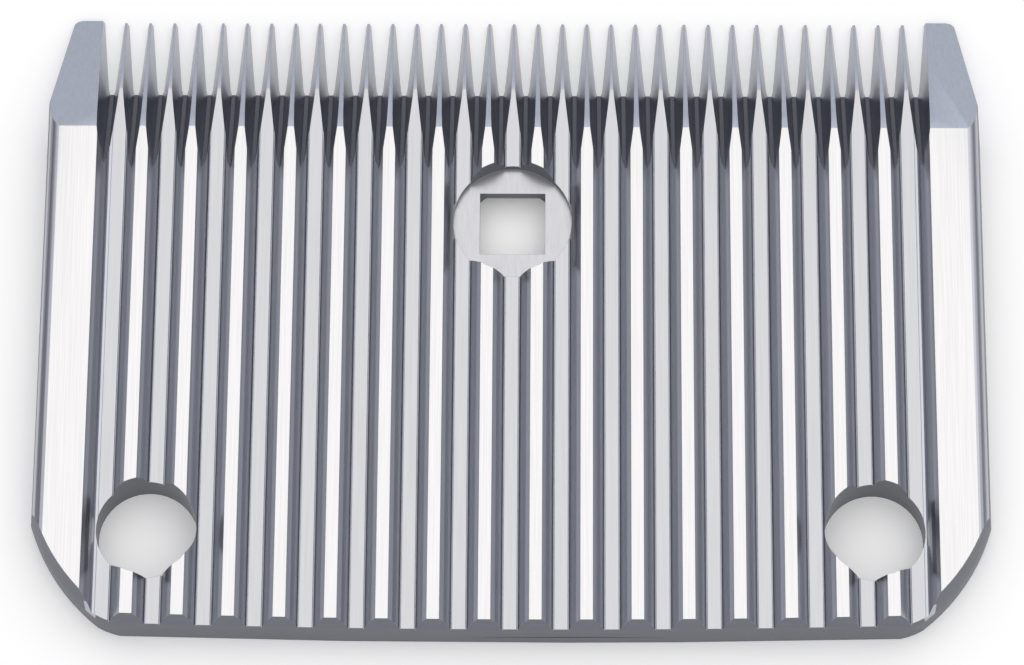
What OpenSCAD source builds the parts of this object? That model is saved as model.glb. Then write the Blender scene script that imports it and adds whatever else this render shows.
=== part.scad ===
// Lower comb of an animal clipper, ground from one piece of tool steel.
// Real size in millimetres. Z = 0 is the flat cutting face, the ridged face looks up (+Z),
// the teeth point to +Y, and X = 0 is the middle of the plate.

/* [Plate] */
// Width over both sides at the cutting face, mm
plate_width = 78.0; // [76:0.1:82]
// Length from the middle of the heel to the tips of the two end teeth, mm
plate_length = 54.5; // [52:0.1:58]
// Height of the ridge tops over the cutting face, mm
ridge_height = 4.35; // [4.0:0.05:5.0]
// Slope of the two long sides, top edge inwards, degrees
side_draft = 6.5; // [3:0.5:9]
// Radius that breaks the top edge of the long sides, mm
side_edge_radius = 1.2; // [0.8:0.05:1.5]

/* [Ridges] */
// Height of the low strips between the ridges, mm
strip_height = 3.0; // [2.8:0.05:3.3]
// Depth of the narrow valley beside each low strip, mm
valley_depth = 0.18; // [0.1:0.01:0.3]
// Width of the flat on top of each ridge, mm
ridge_flat = 1.0; // [0.8:0.02:1.1]
// Width of each low strip, mm
strip_flat = 1.07; // [0.8:0.01:1.15]
// Radius of the rounded ridge flanks, mm
flank_radius = 3.7; // [3:0.1:5]
// Width of the foot of a ridge, where it meets the valley, mm
ridge_foot = 2.86; // [2.8:0.01:2.92]
// Distance from the middle of the plate to the inner edge of each flat side band, mm
band_inner = 34.45; // [34.3:0.05:34.8]

/* [Teeth] */
// Distance from tooth to tooth, mm
tooth_pitch = 2.046; // [2.04:0.001:2.05]
// Thickness of the inner teeth at the tips, mm
tip_thickness = 0.63; // [0.5:0.01:0.9]
// Length of the ground slope on top of the teeth, mm
slope_length = 11.0; // [10:0.1:13]
// How far the two end teeth stand ahead of the others, mm
end_tooth_lead = 0.23; // [0.1:0.01:0.5]
// Depth of the gaps between the teeth, at the cutting face, mm
gap_depth = 6.32; // [5.5:0.02:7]
// Slope of each gap flank, degrees
gap_flank_angle = 14.9; // [13:0.1:15.5]
// Slope of each gap flank above the knee, where the teeth are thinnest, degrees
gap_upper_angle = 10.9; // [9:0.1:13]
// Distance from the floor of a gap to the knee in its flanks, mm
gap_knee = 2.2; // [1.8:0.05:2.6]
// Half width of a gap at its floor, mm
gap_floor_half = 0.16; // [0.1:0.01:0.2]
// Radius of the grinding wheel that cuts the gaps, mm
wheel_radius = 90; // [80:1:110]
// Slope of the gap floor where it leaves the cutting face, degrees
gap_entry_angle = 22.5; // [21:0.1:24]
// Taper of the outer side of the end teeth, degrees
end_tooth_taper = 10.3; // [6:0.1:14]
// Width of each end tooth at its tip, gap to outer corner, mm
end_tooth_tip = 2.37; // [2.0:0.01:2.8]

/* [Heel] */
// Radius of the slightly bowed heel, mm
heel_radius = 1150; // [900:10:2000]
// Radius of the sweep of the rear corners, mm
corner_sweep_radius = 17; // [15:0.5:20]
// Radius where the rear corners run into the heel, mm
corner_end_radius = 6.1; // [5:0.1:8]
// Height at which the heel starts to lean forward, mm
heel_lean_start = 1.3; // [1.0:0.1:2.0]
// How far the heel has leaned forward at the level of the low strips, mm
heel_lean = 0.19; // [0.1:0.01:0.25]
// How far the heel has leaned forward at the ridge tops, mm
heel_set_back = 0.6; // [0.4:0.02:0.8]
// Distance from the heel to where the rear corners leave the sides, mm
corner_length = 9.75; // [8:0.05:12]

/* [Holes] */
// Diameter of the two fixing holes, mm
screw_hole_diameter = 8.12; // [7.5:0.02:8.6]
// Distance between the two fixing holes, mm
screw_hole_spacing = 58.74; // [56:0.02:60]
// Distance from the heel to the fixing holes, mm
screw_hole_setback = 8.46; // [7.5:0.02:10]
// Diameter of the round sinking for the centre bolt head, mm
sinking_diameter = 9.8; // [8.8:0.02:10.6]
// Distance from the middle of the plate length forward to the centre bolt, mm
centre_bolt_forward = 8.14; // [6:0.02:9]
// Height of the floor of the sinking over the cutting face, mm
sinking_floor = 2.38; // [2.1:0.02:2.6]
// Side of the square hole for the bolt neck, mm
square_hole = 5.4; // [4.8:0.02:5.8]
// Diameter of the round recess under the square hole, mm
under_recess_diameter = 7.9; // [7:0.05:8.6]
// Depth of the round recess under the square hole, mm
under_recess_depth = 1.38; // [0.6:0.02:1.5]

/* [Hidden] */
$fn = 180;
wheel_segments = 720;
bow_segments = 7200;

// Counts: one ridge for every second inner tooth.
tooth_count = 35;
inner_teeth = tooth_count - 2;
gap_count = tooth_count - 1;
ridge_count = (inner_teeth - 1) / 2;
strip_count = ridge_count + 1;
ridge_pitch = 2 * tooth_pitch;

// Run over rise of the short flank of a low strip.
strip_flank_slope = 0.2;

// Overlap between shapes that are joined, and clear space round the tools that cut.
overlap = 0.5;
air = 2;
// Small distance that keeps a cut off the plane of the low strips.
strip_clear = 0.1;

// Levels and edges worked out from the sizes above.
half_width = plate_width / 2;
half_length = plate_length / 2;
inner_tip_y = half_length - end_tooth_lead;
gap_root_y = inner_tip_y - gap_depth;
valley_height = strip_height - valley_depth;
lean_knee = strip_height + strip_clear;
slope_angle = atan((ridge_height - tip_thickness) / slope_length);
slope_start_y = inner_tip_y - slope_length;
slope_tool = 8;

// Side of the plate: a drafted face, then a round into the top.
side_top_x = half_width - (ridge_height - side_edge_radius) * tan(side_draft);
side_round_x = side_top_x - side_edge_radius;
side_round_z = ridge_height - side_edge_radius;
// Lets the round cross the top and the side at a slight angle, so that the cut is clean.
round_over = 0.012;

// Centre of the flank circle of a ridge, from the flat edge to the foot.
flank_dx = ridge_foot / 2 - ridge_flat / 2;
flank_dz = ridge_height - valley_height;
flank_chord = sqrt(flank_dx * flank_dx + flank_dz * flank_dz);
flank_in = sqrt(flank_radius * flank_radius - flank_chord * flank_chord / 4);
flank_cx = (ridge_flat + ridge_foot) / 4 - flank_in * flank_dz / flank_chord;
flank_cz = (ridge_height + valley_height) / 2 - flank_in * flank_dx / flank_chord;

// Centre of the grinding wheel seen from the side.
wheel_y = gap_root_y + wheel_radius * sin(gap_entry_angle);
wheel_z = wheel_radius * cos(gap_entry_angle);
gap_ease = 0.16;
gap_ease_half = gap_floor_half + 0.107;
least_tooth_top = 0.04;
gap_half_max = (tooth_pitch - least_tooth_top) / 2;
gap_knee_half = gap_ease_half + (gap_knee - gap_ease) * tan(gap_flank_angle);
gap_flank_height = gap_knee + (gap_half_max - gap_knee_half) / tan(gap_upper_angle);
wheel_bore = wheel_radius - gap_flank_height - 5;

// Outer corner of each end tooth, broken by two short flats.
end_corner_round = 0.62;
end_corner_drop = 0.42;
end_corner_mid = 0.24;
end_corner_mid_drop = 0.14;
end_corner_rest = 0.08;

// Rear corners: a wide sweep from the side, then a smaller radius into the heel.
sweep_start = 16;
sweep_x = half_width - corner_sweep_radius * cos(sweep_start);
sweep_y = -half_length + corner_length + corner_sweep_radius * sin(sweep_start);
heel_bow_at_corner = 0.3;
corner_join = 0.1;
end_drop = sweep_y + half_length - heel_bow_at_corner - corner_end_radius;
end_reach = corner_sweep_radius - corner_end_radius + corner_join;
end_angle = asin(min(1, end_drop / end_reach));
end_x = sweep_x + end_reach * cos(end_angle);
end_y = sweep_y - end_reach * sin(end_angle);

// Ridge section seen from the heel, X to the right and Z up.
module ridge_2d() {
    intersection() {
        translate([-ridge_foot / 2, valley_height - overlap])
            square([ridge_foot, ridge_height - valley_height + overlap]);
        translate([flank_cx, flank_cz])
            circle(r = flank_radius);
        translate([-flank_cx, flank_cz])
            circle(r = flank_radius);
    }
}

// Low strip section between two ridges.
module strip_2d() {
    foot = strip_flat / 2 + valley_depth * strip_flank_slope;
    polygon([
        [-foot, valley_height - overlap],
        [foot, valley_height - overlap],
        [foot, valley_height],
        [strip_flat / 2, strip_height],
        [-strip_flat / 2, strip_height],
        [-foot, valley_height]
    ]);
}

// Flat side band with its inner flank; the outer side is trimmed later.
module band_2d() {
    translate([band_inner + ridge_flat / 2, 0])
        ridge_2d();
    translate([band_inner + ridge_flat / 2, valley_height - overlap])
        square([half_width + air - band_inner, ridge_height - valley_height + overlap]);
}

// Drafted and rounded outside of the whole section.
module outside_2d() {
    difference() {
        polygon([
            [-half_width, 0],
            [half_width, 0],
            [half_width - (ridge_height + air) * tan(side_draft), ridge_height + air],
            [-half_width + (ridge_height + air) * tan(side_draft), ridge_height + air]
        ]);
        for (side = [-1, 1])
            difference() {
                translate([side > 0 ? side_round_x : -side_round_x - side_edge_radius - air, side_round_z])
                    square([side_edge_radius + air, side_edge_radius + 2 * air]);
                translate([side * (side_round_x - round_over), side_round_z])
                    circle(r = side_edge_radius + round_over);
            }
    }
}

module plate_section_2d() {
    intersection() {
        outside_2d();
        union() {
            translate([-half_width, 0])
                square([plate_width, valley_height]);
            for (i = [0 : ridge_count - 1])
                translate([(i - (ridge_count - 1) / 2) * ridge_pitch, 0])
                    ridge_2d();
            for (i = [0 : strip_count - 1])
                translate([(i - (strip_count - 1) / 2) * ridge_pitch, 0])
                    strip_2d();
            band_2d();
            mirror([1, 0])
                band_2d();
        }
    }
}

module ridged_blank() {
    translate([0, half_length, 0])
        rotate([90, 0, 0])
            linear_extrude(height = plate_length + air)
                plate_section_2d();
}

// Upright post of a given radius, tall enough to pass through the plate.
module post(radius) {
    translate([0, 0, -air])
        cylinder(r = radius, h = ridge_height + 2 * air);
}

// Cone on the same axis as a post, with the lean that the heel has above the low strips.
module lean_cone(radius) {
    spread = (heel_set_back - heel_lean) / (ridge_height - lean_knee);
    translate([0, 0, -air])
        cylinder(
            r1 = radius - heel_lean + (lean_knee + air) * spread,
            r2 = radius - heel_set_back - air * spread,
            h = ridge_height + 2 * air
        );
}

// Block outside the wide sweep of the right rear corner.
module sweep_block() {
    translate([end_x, sweep_y - 3 * corner_sweep_radius, -air / 2])
        cube([2 * corner_sweep_radius, 3 * corner_sweep_radius, ridge_height + air]);
}

// Block outside the smaller radius that runs into the heel.
module end_block() {
    reach = 2 * corner_end_radius;
    translate([end_x, end_y, -air / 2])
        linear_extrude(height = ridge_height + air)
            polygon([
                [0, 0],
                [0, -reach],
                [reach * cos(end_angle), -reach],
                [reach * cos(end_angle), -reach * sin(end_angle)]
            ]);
}

// What the wide sweep takes off; the child is the body that stays inside it.
module sweep_waste() {
    difference() {
        sweep_block();
        translate([sweep_x, sweep_y, 0])
            children();
    }
}

// What the smaller radius takes off; the child is the body that stays inside it.
module end_waste() {
    difference() {
        end_block();
        translate([end_x, end_y, 0])
            children();
    }
}

// Everything in front of the slightly bowed heel, which leans forward towards its top.
module heel_keep() {
    keep_inner = heel_radius - plate_length - 2 * air;
    bow_angle = 2 * asin((half_width + air) / keep_inner);
    keep_top = lean_knee + 3 * (ridge_height - lean_knee);
    keep_top_radius = heel_radius - heel_lean - 3 * (heel_set_back - heel_lean);
    translate([0, heel_radius - half_length, 0])
        rotate([0, 0, -90 - bow_angle / 2])
            rotate_extrude(angle = bow_angle, $fn = bow_segments)
                polygon([
                    [keep_inner, -air],
                    [heel_radius, -air],
                    [heel_radius, heel_lean_start],
                    [heel_radius - heel_lean, lean_knee],
                    [keep_top_radius, keep_top],
                    [keep_inner, keep_top]
                ]);
}

// Waste over the ground slope at the front.
module slope_waste() {
    translate([-half_width - air, slope_start_y, ridge_height])
        rotate([-slope_angle, 0, 0])
            translate([0, -slope_tool, 0])
                cube([plate_width + 2 * air, 2 * slope_length, slope_tool]);
}

// One gap: the rim of a wheel with sloping flanks, plunged into the plate.
module gap_wheel() {
    translate([0, wheel_y, wheel_z])
        rotate([0, 90, 0])
            rotate_extrude($fn = wheel_segments)
                polygon([
                    [wheel_bore, -gap_half_max],
                    [wheel_radius - gap_flank_height, -gap_half_max],
                    [wheel_radius - gap_knee, -gap_knee_half],
                    [wheel_radius - gap_ease, -gap_ease_half],
                    [wheel_radius, -gap_floor_half],
                    [wheel_radius, gap_floor_half],
                    [wheel_radius - gap_ease, gap_ease_half],
                    [wheel_radius - gap_knee, gap_knee_half],
                    [wheel_radius - gap_flank_height, gap_half_max],
                    [wheel_bore, gap_half_max]
                ]);
}

module gaps() {
    for (i = [0 : gap_count - 1])
        translate([(i - (gap_count - 1) / 2) * tooth_pitch, 0, 0])
            gap_wheel();
}

// Inner teeth end a little behind the two end teeth.
module inner_tip_waste() {
    span = (gap_count - 1) * tooth_pitch;
    translate([-span / 2, inner_tip_y, -air / 2])
        cube([span, end_tooth_lead + air, ridge_height + air]);
}

// Outer side of one end tooth, on the right.
module end_tooth_waste() {
    tip_x = gap_count / 2 * tooth_pitch + end_tooth_tip - end_corner_rest;
    back = (half_width - tip_x + air) / tan(end_tooth_taper);
    translate([0, 0, -air / 2])
        linear_extrude(height = ridge_height + air)
            polygon([
                [tip_x - end_corner_round, half_length + air],
                [tip_x - end_corner_round, half_length],
                [tip_x - end_corner_mid, half_length - end_corner_mid_drop],
                [tip_x, half_length - end_corner_drop],
                [tip_x + back * tan(end_tooth_taper), half_length - end_corner_drop - back],
                [half_width + 2 * air, half_length - end_corner_drop - back],
                [half_width + 2 * air, half_length + air]
            ]);
}

module screw_holes() {
    for (side = [-1, 1])
        translate([side * screw_hole_spacing / 2, -half_length + screw_hole_setback, -air / 2])
            cylinder(d = screw_hole_diameter, h = ridge_height + air);
}

module centre_bolt_seat() {
    translate([0, centre_bolt_forward, 0]) {
        translate([0, 0, sinking_floor])
            cylinder(d = sinking_diameter, h = ridge_height);
        translate([-square_hole / 2, -square_hole / 2, -air / 2])
            cube([square_hole, square_hole, ridge_height + air]);
        translate([0, 0, -air / 2])
            cylinder(d = under_recess_diameter, h = under_recess_depth + air / 2);
    }
}

// The work goes in the order a plate like this is ground: outline, leaning edge, slope, holes, teeth.
module outlined_plate() {
    difference() {
        difference() {
            intersection() {
                ridged_blank();
                heel_keep();
            }
            sweep_waste()
                post(corner_sweep_radius);
        }
        mirror([1, 0, 0])
            sweep_waste()
                post(corner_sweep_radius);
    }
}

module rounded_plate() {
    difference() {
        difference() {
            outlined_plate();
            end_waste()
                post(corner_end_radius);
        }
        mirror([1, 0, 0])
            end_waste()
                post(corner_end_radius);
    }
}

module leaned_plate() {
    difference() {
        difference() {
            rounded_plate();
            sweep_waste()
                lean_cone(corner_sweep_radius);
            end_waste()
                lean_cone(corner_end_radius);
        }
        mirror([1, 0, 0]) {
            sweep_waste()
                lean_cone(corner_sweep_radius);
            end_waste()
                lean_cone(corner_end_radius);
        }
    }
}

module sloped_plate() {
    difference() {
        leaned_plate();
        slope_waste();
        inner_tip_waste();
        end_tooth_waste();
        mirror([1, 0, 0])
            end_tooth_waste();
    }
}

module drilled_plate() {
    difference() {
        sloped_plate();
        screw_holes();
        centre_bolt_seat();
    }
}

module comb_plate() {
    color([0.72, 0.72, 0.74])
        difference() {
            drilled_plate();
            gaps();
        }
}

comb_plate();
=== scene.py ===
"""Looks of the clipper comb plate: ground tool steel lying on a pale studio table."""

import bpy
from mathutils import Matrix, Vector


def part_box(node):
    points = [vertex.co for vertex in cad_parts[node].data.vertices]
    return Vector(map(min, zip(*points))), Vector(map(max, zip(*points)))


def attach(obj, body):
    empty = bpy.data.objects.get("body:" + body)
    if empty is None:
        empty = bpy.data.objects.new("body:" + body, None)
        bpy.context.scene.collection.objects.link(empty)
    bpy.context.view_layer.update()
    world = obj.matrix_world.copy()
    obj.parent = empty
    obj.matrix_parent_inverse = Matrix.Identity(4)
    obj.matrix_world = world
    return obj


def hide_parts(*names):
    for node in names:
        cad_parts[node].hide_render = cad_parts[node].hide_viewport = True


bl_info = {
    "name": "Clipper comb plate",
    "version": (1, 0, 0),
    "blender": (4, 5, 0),
    "location": "3D View > Sidebar > Comb plate",
    "description": "Dresses the comb plate in ground steel and sets the studio around it",
    "category": "Object",
}

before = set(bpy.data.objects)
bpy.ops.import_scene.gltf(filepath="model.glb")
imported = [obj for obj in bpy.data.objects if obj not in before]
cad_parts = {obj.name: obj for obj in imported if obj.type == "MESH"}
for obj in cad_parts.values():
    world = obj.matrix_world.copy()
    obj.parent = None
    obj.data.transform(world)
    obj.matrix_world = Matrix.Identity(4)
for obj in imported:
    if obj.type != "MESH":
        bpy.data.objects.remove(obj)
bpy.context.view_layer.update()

import math

import bpy
from bpy.props import FloatProperty, FloatVectorProperty, PointerProperty
from mathutils import Matrix, Vector

NODE = "comb_plate"
MM = 0.001
LOW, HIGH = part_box(NODE)

# Places on the plate, in millimetres, as the solid has them.
CREST_Z = HIGH.z / MM
STRIP_Z = 3.0
SLOPE_START_Y = 16.02
SLOPE_ANGLE = 18.7
SINKING_CENTRE = (0.0, 8.14)
SINKING_RADIUS = 4.9
FIRST_GAP_Y = 12.0
HEEL_END_Y = -26.0
CORNER_END_Y = -16.0
CORNER_X = 34.0

# How densely the scratches lie along X, Y and Z, per metre.
ALONG = (9000, 120, 9000)
AROUND = (400, 400, 9000)
MATTE = (6000, 600, 6000)

# Edges sharper than this stay sharp, in degrees.
SMOOTH_ANGLE = 20.0

# Finishes of the plate, in the order of its material slots; the gap, side and hole finishes carry painted
# shade.
CREST, STRIP, FLANK, SLOPE, GAP, SIDE, HOLE, UNDER, SEAT = range(9)

# Direction of the middle of the overhead light.
KEY_LIGHT = (0.10, 0.37, 0.92)
# Direction of the middle of the low fill light behind the photographer.
FILL_LIGHT = (0.0, -0.87, 0.50)

# Camera of the photograph: where it stands and how it is turned.
CAMERA_PLACE = (3.695, -141.92, 372.876)
CAMERA_PITCH = 69.230
CAMERA_YAW = -1.500
CAMERA_ROLL = 1.209


class PlateLook(bpy.types.PropertyGroup):
    """Sizes and colours of the ground steel; the gap, side and hole colours are darkened with painted
    shade.
    """
    edge_break: FloatProperty(
        name="Edge break", description="Radius of the light break on every sharp edge",
        default=0.04 * MM, min=0.0, unit="LENGTH")
    crest_tone: FloatVectorProperty(
        name="Crest tone", description="Colour of the ground ridge tops",
        default=(0.63, 0.62, 0.62), size=3, min=0.0, max=1.0, subtype="COLOR")
    strip_tone: FloatVectorProperty(
        name="Strip tone", description="Colour of the low strips",
        default=(0.48, 0.48, 0.50), size=3, min=0.0, max=1.0, subtype="COLOR")
    flank_tone: FloatVectorProperty(
        name="Flank tone", description="Colour of the ridge flanks",
        default=(0.47, 0.48, 0.52), size=3, min=0.0, max=1.0, subtype="COLOR")
    slope_tone: FloatVectorProperty(
        name="Slope tone", description="Colour of the ground tooth slope",
        default=(0.42, 0.45, 0.52), size=3, min=0.0, max=1.0, subtype="COLOR")
    # Painted shade: the cut sides of the teeth are a little darker than the flanks, as shade in the narrow
    # gaps.
    gap_tone_with_painted_shade: FloatVectorProperty(
        name="Gap tone", description="Colour of the cut sides of the teeth",
        default=(0.42, 0.43, 0.47), size=3, min=0.0, max=1.0, subtype="COLOR")
    # Painted shade: the steel tone of the sides and heel is darkened to stand in for the shaded table they
    # reflect.
    side_tone_with_painted_shade: FloatVectorProperty(
        name="Side tone", description="Colour of the sides and the heel",
        default=(0.17, 0.175, 0.20), size=3, min=0.0, max=1.0, subtype="COLOR")
    # Painted shade: the steel tone of the hole walls is darkened to stand in for the shaded floor inside
    # the holes that they reflect.
    hole_tone_with_painted_shade: FloatVectorProperty(
        name="Hole tone", description="Colour of the walls of the holes",
        default=(0.15, 0.155, 0.175), size=3, min=0.0, max=1.0, subtype="COLOR")


class StudioLook(bpy.types.PropertyGroup):
    """Camera, floor and light."""
    lens: FloatProperty(
        name="Lens", description="Focal length on a sensor 36 mm wide",
        default=170.03, min=20.0)
    sky_strength: FloatProperty(
        name="Overhead light", description="Brightness of the overhead light",
        default=1.5, min=0.0)
    fill_share: FloatProperty(
        name="Fill light", description="Brightness of the low fill light as a share of the overhead light",
        default=0.7, min=0.0, max=1.0)
    floor_tone: FloatVectorProperty(
        name="Floor tone", description="Colour of the table",
        default=(0.93, 0.93, 0.93), size=3, min=0.0, max=1.0, subtype="COLOR")
    floor_glow: FloatProperty(
        name="Floor glow", description="Light that comes through the pale table",
        default=0.14, min=0.0)


def new_material(name):
    """An empty node material with its output and steel shader."""
    made = bpy.data.materials.new(name)
    made.use_nodes = True
    nodes = made.node_tree.nodes
    shader = nodes["Principled BSDF"]
    shader.inputs["Metallic"].default_value = 1.0
    return made, nodes, made.node_tree.links, shader


def steel(name, tone, roughness, stretch, edge, streak=0.05, bump=0.02):
    """Ground steel with fine scratches drawn out along one direction and broken edges."""
    made, nodes, links, shader = new_material(name)
    place = nodes.new("ShaderNodeTexCoord")
    turn = nodes.new("ShaderNodeMapping")
    turn.inputs["Scale"].default_value = stretch
    links.new(place.outputs["Object"], turn.inputs["Vector"])
    grain = nodes.new("ShaderNodeTexNoise")
    grain.inputs["Scale"].default_value = 1.0
    grain.inputs["Detail"].default_value = 4.0
    links.new(turn.outputs["Vector"], grain.inputs["Vector"])
    shade = nodes.new("ShaderNodeMapRange")
    shade.inputs["From Min"].default_value = 0.3
    shade.inputs["From Max"].default_value = 0.7
    shade.inputs["To Min"].default_value = 1.0 - streak
    shade.inputs["To Max"].default_value = 1.0 + streak
    links.new(grain.outputs["Fac"], shade.inputs["Value"])
    colour = nodes.new("ShaderNodeMix")
    colour.data_type = "RGBA"
    colour.blend_type = "MULTIPLY"
    colour.inputs["Factor"].default_value = 1.0
    colour.inputs["A"].default_value = (*tone, 1.0)
    links.new(shade.outputs["Result"], colour.inputs["B"])
    links.new(colour.outputs["Result"], shader.inputs["Base Color"])
    shader.inputs["Roughness"].default_value = roughness
    relief = nodes.new("ShaderNodeBump")
    relief.inputs["Strength"].default_value = bump
    relief.inputs["Distance"].default_value = 0.02 * MM
    links.new(grain.outputs["Fac"], relief.inputs["Height"])
    broken = nodes.new("ShaderNodeBevel")
    broken.inputs["Radius"].default_value = edge
    links.new(broken.outputs["Normal"], relief.inputs["Normal"])
    links.new(relief.outputs["Normal"], shader.inputs["Normal"])
    return made


def select_only(piece):
    """Makes one object the only selected and active one."""
    bpy.ops.object.select_all(action="DESELECT")
    piece.select_set(True)
    bpy.context.view_layer.objects.active = piece


def finish_of(face):
    """The finish that a face of the plate takes, from its place and the way it looks."""
    centre = face.center / MM
    normal = face.normal
    if normal.z < -0.9:
        return UNDER
    from_bolt = math.hypot(centre.x - SINKING_CENTRE[0], centre.y - SINKING_CENTRE[1])
    if from_bolt < SINKING_RADIUS + 0.02 and centre.z < CREST_Z - 0.05:
        return SEAT if normal.z > 0.9 else HOLE
    tilt = math.radians(SLOPE_ANGLE)
    slope_normal = Vector((0.0, math.sin(tilt), math.cos(tilt)))
    if normal.dot(slope_normal) > 0.9995 and centre.y > SLOPE_START_Y - 0.1:
        return SLOPE
    if normal.z > 0.999:
        if centre.z > CREST_Z - 0.01:
            return CREST
        return STRIP if centre.z > STRIP_Z - 0.01 else FLANK
    if centre.y > FIRST_GAP_Y:
        return HOLE if normal.z > 0.3 and abs(normal.x) < 0.5 else GAP
    at_heel = centre.y < HEEL_END_Y or (centre.y < CORNER_END_Y and abs(centre.x) > CORNER_X)
    if abs(normal.x) > 0.9 and abs(centre.x) > CORNER_X or at_heel and abs(normal.z) < 0.5:
        return SIDE
    return HOLE if abs(normal.z) < 0.05 else FLANK


class PLATE_OT_dress(bpy.types.Operator):
    """Lays the ground finish on the comb plate"""
    bl_idname = "plate.dress"
    bl_label = "Dress the plate"

    def execute(self, context):
        look = context.scene.plate_look
        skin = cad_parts[NODE].data.copy()
        piece = bpy.data.objects.new("comb_plate_ground", skin)
        context.scene.collection.objects.link(piece)
        select_only(piece)
        bpy.ops.object.mode_set(mode="EDIT")
        bpy.ops.mesh.select_mode(type="EDGE")
        bpy.ops.mesh.select_all(action="SELECT")
        bpy.ops.mesh.remove_doubles(threshold=1e-6)
        bpy.ops.mesh.dissolve_limited(angle_limit=math.radians(0.5), delimit={"NORMAL"})
        bpy.ops.object.mode_set(mode="OBJECT")
        bpy.ops.mesh.customdata_custom_splitnormals_clear()
        bpy.ops.object.shade_smooth_by_angle(angle=math.radians(SMOOTH_ANGLE))
        skin.materials.clear()
        edge = look.edge_break
        finishes = {
            CREST: steel("ground_crest", look.crest_tone, 0.22, ALONG, edge),
            STRIP: steel("low_strip", look.strip_tone, 0.28, ALONG, edge),
            FLANK: steel("ridge_flank", look.flank_tone, 0.28, ALONG, edge),
            SLOPE: steel("tooth_slope", look.slope_tone, 0.48, MATTE, edge),
            # Cut sides of the teeth: steel tone darkened with painted shade.
            GAP: steel("tooth_gap_painted_shade", look.gap_tone_with_painted_shade, 0.28, AROUND, edge),
            # Sides and heel: steel tone darkened with painted shade.
            SIDE: steel("plate_side_painted_shade", look.side_tone_with_painted_shade, 0.42, AROUND, edge),
            # Hole walls: steel tone darkened with painted shade.
            HOLE: steel("bored_hole_painted_shade", look.hole_tone_with_painted_shade, 0.38, AROUND, edge),
            UNDER: steel("cutting_face", look.crest_tone, 0.20, ALONG, edge),
            SEAT: steel("bolt_seat", look.strip_tone, 0.32, MATTE, edge),
        }
        for number in sorted(finishes):
            skin.materials.append(finishes[number])
        for face in skin.polygons:
            face.material_index = finish_of(face)
            if face.material_index == FLANK:
                face.use_smooth = False
        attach(piece, "root")
        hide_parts(NODE)
        return {"FINISHED"}


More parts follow.
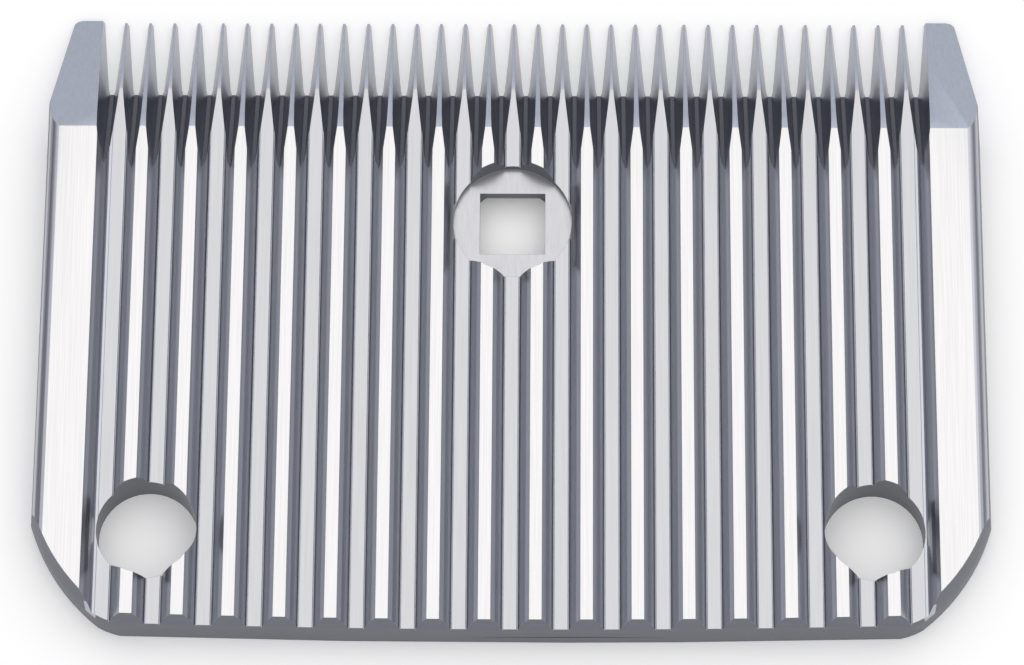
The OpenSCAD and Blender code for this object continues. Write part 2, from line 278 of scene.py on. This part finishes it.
class STUDIO_OT_set(bpy.types.Operator):
    """Sets the table, the light and the camera"""
    bl_idname = "studio.set"
    bl_label = "Set the studio"

    def execute(self, context):
        look = context.scene.studio_look
        bpy.ops.object.select_all(action="DESELECT")
        bpy.ops.mesh.primitive_plane_add(size=4.0, location=(0.0, 0.0, LOW.z))
        table = context.active_object
        table.name = "table"
        made, nodes, links, shader = new_material("pale_table")
        shader.inputs["Metallic"].default_value = 0.0
        shader.inputs["Base Color"].default_value = (*look.floor_tone, 1.0)
        shader.inputs["Roughness"].default_value = 0.9
        shader.inputs["Emission Color"].default_value = (1.0, 1.0, 1.0, 1.0)
        shader.inputs["Emission Strength"].default_value = look.floor_glow
        table.data.materials.append(made)

        world = bpy.data.worlds.new("studio")
        world.use_nodes = True
        nodes, links = world.node_tree.nodes, world.node_tree.links
        back = nodes["Background"]
        back.inputs["Strength"].default_value = look.sky_strength
        where = nodes.new("ShaderNodeTexCoord")
        nearness = nodes.new("ShaderNodeVectorMath")
        nearness.operation = "DOT_PRODUCT"
        nearness.inputs[1].default_value = KEY_LIGHT
        links.new(where.outputs["Generated"], nearness.inputs[0])
        ramp = nodes.new("ShaderNodeValToRGB")
        ramp.color_ramp.elements[0].position = 0.0
        ramp.color_ramp.elements[0].color = (0.10, 0.10, 0.11, 1)
        ramp.color_ramp.elements[1].position = 0.92
        ramp.color_ramp.elements[1].color = (1, 1, 1, 1)
        low = ramp.color_ramp.elements.new(0.45)
        low.color = (0.16, 0.16, 0.17, 1)
        high = ramp.color_ramp.elements.new(0.78)
        high.color = (0.62, 0.62, 0.64, 1)
        links.new(nearness.outputs["Value"], ramp.inputs["Fac"])
        behind = nodes.new("ShaderNodeVectorMath")
        behind.operation = "DOT_PRODUCT"
        behind.inputs[1].default_value = FILL_LIGHT
        links.new(where.outputs["Generated"], behind.inputs[0])
        fill = nodes.new("ShaderNodeMapRange")
        fill.inputs["From Min"].default_value = 0.2
        fill.inputs["From Max"].default_value = 0.9
        fill.inputs["To Max"].default_value = look.fill_share
        links.new(behind.outputs["Value"], fill.inputs["Value"])
        both = nodes.new("ShaderNodeMix")
        both.data_type = "RGBA"
        both.blend_type = "LIGHTEN"
        both.inputs["Factor"].default_value = 1.0
        links.new(ramp.outputs["Color"], both.inputs["A"])
        links.new(fill.outputs["Result"], both.inputs["B"])
        links.new(both.outputs["Result"], back.inputs["Color"])
        context.scene.world = world

        bpy.ops.object.camera_add()
        camera = context.active_object
        camera.name = "photo_camera"
        camera.data.lens = look.lens
        camera.data.sensor_width = 36.0
        camera.data.clip_start = 0.01
        turn = Matrix.Rotation(math.radians(-CAMERA_YAW), 4, "Z")
        tip = Matrix.Rotation(math.radians(90.0 - CAMERA_PITCH), 4, "X")
        roll = Matrix.Rotation(math.radians(-CAMERA_ROLL), 4, "Z")
        place = Matrix.Translation(Vector(CAMERA_PLACE) * MM)
        camera.matrix_world = place @ turn @ tip @ roll
        context.scene.camera = camera
        context.scene.view_settings.view_transform = "Standard"
        return {"FINISHED"}


class PLATE_PT_panel(bpy.types.Panel):
    """Lists the steps in the sidebar"""
    bl_idname = "PLATE_PT_panel"
    bl_label = "Comb plate"
    bl_space_type = "VIEW_3D"
    bl_region_type = "UI"
    bl_category = "Comb plate"

    def draw(self, context):
        self.layout.operator("plate.dress")
        self.layout.operator("studio.set")


CLASSES = (PlateLook, StudioLook, PLATE_OT_dress, STUDIO_OT_set, PLATE_PT_panel)


def register():
    for made in CLASSES:
        bpy.utils.register_class(made)
    bpy.types.Scene.plate_look = PointerProperty(type=PlateLook)
    bpy.types.Scene.studio_look = PointerProperty(type=StudioLook)


def unregister():
    del bpy.types.Scene.plate_look
    del bpy.types.Scene.studio_look
    for made in reversed(CLASSES):
        bpy.utils.unregister_class(made)


def main():
    register()
    bpy.ops.plate.dress()
    bpy.ops.studio.set()


if __name__ == "__main__":
    main()
